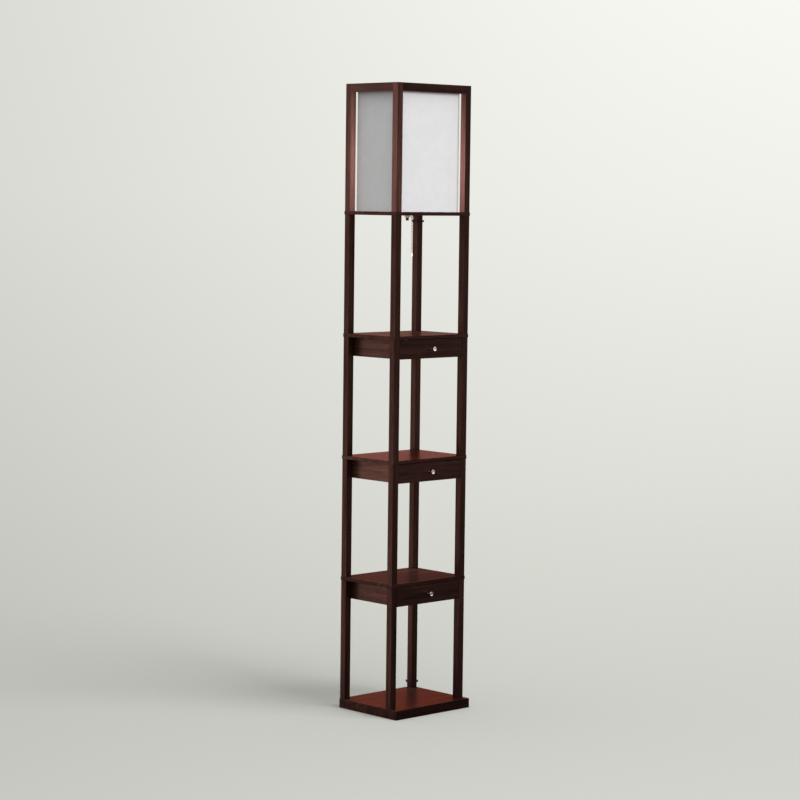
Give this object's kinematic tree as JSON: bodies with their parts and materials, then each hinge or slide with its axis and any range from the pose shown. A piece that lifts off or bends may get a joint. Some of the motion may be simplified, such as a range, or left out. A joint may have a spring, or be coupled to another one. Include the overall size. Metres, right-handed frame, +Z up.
{
  "type": "shelf floor lamp",
  "caption": "Tall open-shelf floor lamp in dark wood: square posts between boards, small drawers under the shelves and a white box shade on top with a pull chain below it.",
  "frame": {"origin": "centre of the base board underside, on the floor", "axes": "+Z up along the posts, +X to the right seen from the front, -Y is the front where the drawers open"},
  "size_m": [0.261, 0.217, 1.6],
  "materials": {
    "wood": "dark red-brown stain under satin lacquer",
    "runner_wood": "planed, unfinished",
    "drawer_bottom": "stained fibreboard",
    "nickel": "polished nickel",
    "steel": "zinc plated",
    "brass": "satin",
    "shade": "white laminated sheet, translucent",
    "holder": "moulded, satin",
    "black_plastic": "moulded, satin",
    "bulb_glass": "opal glass"
  },
  "bodies": {
    "frame": {"base_board": "wood", "lower_shelf": "wood", "middle_shelf": "wood", "upper_shelf": "wood", "lamp_board": "wood", "bottom_tier_front_left_post": "wood", "bottom_tier_front_right_post": "wood", "bottom_tier_rear_left_post": "wood", "bottom_tier_rear_right_post": "wood", "lower_tier_front_left_post": "wood", "lower_tier_front_right_post": "wood", "lower_tier_rear_left_post": "wood", "lower_tier_rear_right_post": "wood", "middle_tier_front_left_post": "wood", "middle_tier_front_right_post": "wood", "middle_tier_rear_left_post": "wood", "middle_tier_rear_right_post": "wood", "upper_tier_front_left_post": "wood", "upper_tier_front_right_post": "wood", "upper_tier_rear_left_post": "wood", "upper_tier_rear_right_post": "wood", "shade_tier_front_left_post": "wood", "shade_tier_front_right_post": "wood", "shade_tier_rear_left_post": "wood", "shade_tier_rear_right_post": "wood", "front_top_rail": "wood", "rear_top_rail": "wood", "left_top_rail": "wood", "right_top_rail": "wood", "joining_studs": "steel", "drawer_runners": "runner_wood", "shade": "shade", "threaded_nipple": "brass", "nipple_nuts": "brass", "lead_outlet_bush": "black_plastic", "lamp_holder": "holder", "bulb": "bulb_glass", "cord_straps": "black_plastic"},
    "upper_drawer": {"upper_drawer_front": "wood", "upper_drawer_left_side": "wood", "upper_drawer_right_side": "wood", "upper_drawer_back": "wood", "upper_drawer_bottom": "drawer_bottom", "upper_drawer_knob": "nickel"},
    "middle_drawer": {"middle_drawer_front": "wood", "middle_drawer_left_side": "wood", "middle_drawer_right_side": "wood", "middle_drawer_back": "wood", "middle_drawer_bottom": "drawer_bottom", "middle_drawer_knob": "nickel"},
    "lower_drawer": {"lower_drawer_front": "wood", "lower_drawer_left_side": "wood", "lower_drawer_right_side": "wood", "lower_drawer_back": "wood", "lower_drawer_bottom": "drawer_bottom", "lower_drawer_knob": "nickel"},
    "chain_pull": {"upper_chain": "nickel"},
    "chain_link": {"chain_connector": "nickel"},
    "hanging_chain": {"pull_chain": "nickel", "chain_bell": "nickel"}
  },
  "joints": [
    {"name": "upper_drawer_slide", "type": "slide", "parent": "frame", "child": "upper_drawer", "axis": [0, -1, 0], "range_m": [0, 0.13]},
    {"name": "middle_drawer_slide", "type": "slide", "parent": "frame", "child": "middle_drawer", "axis": [0, -1, 0], "range_m": [0, 0.13]},
    {"name": "lower_drawer_slide", "type": "slide", "parent": "frame", "child": "lower_drawer", "axis": [0, -1, 0], "range_m": [0, 0.13]},
    {"name": "switch_pull", "type": "slide", "parent": "frame", "child": "chain_pull", "axis": [0, 0, -1], "range_m": [0, 0.01], "stiffness_N_per_m": 150, "springref_m": -0.002},
    {"name": "chain_swing_front_back", "type": "hinge", "parent": "chain_pull", "child": "chain_link", "pos_m": [0, -0.006, 1.266], "axis": [1, 0, 0], "range_deg": [-18, 18]},
    {"name": "chain_swing_side", "type": "hinge", "parent": "chain_link", "child": "hanging_chain", "pos_m": [0, -0.006, 1.2614], "axis": [0, 1, 0], "range_deg": [-18, 18]}
  ]
}
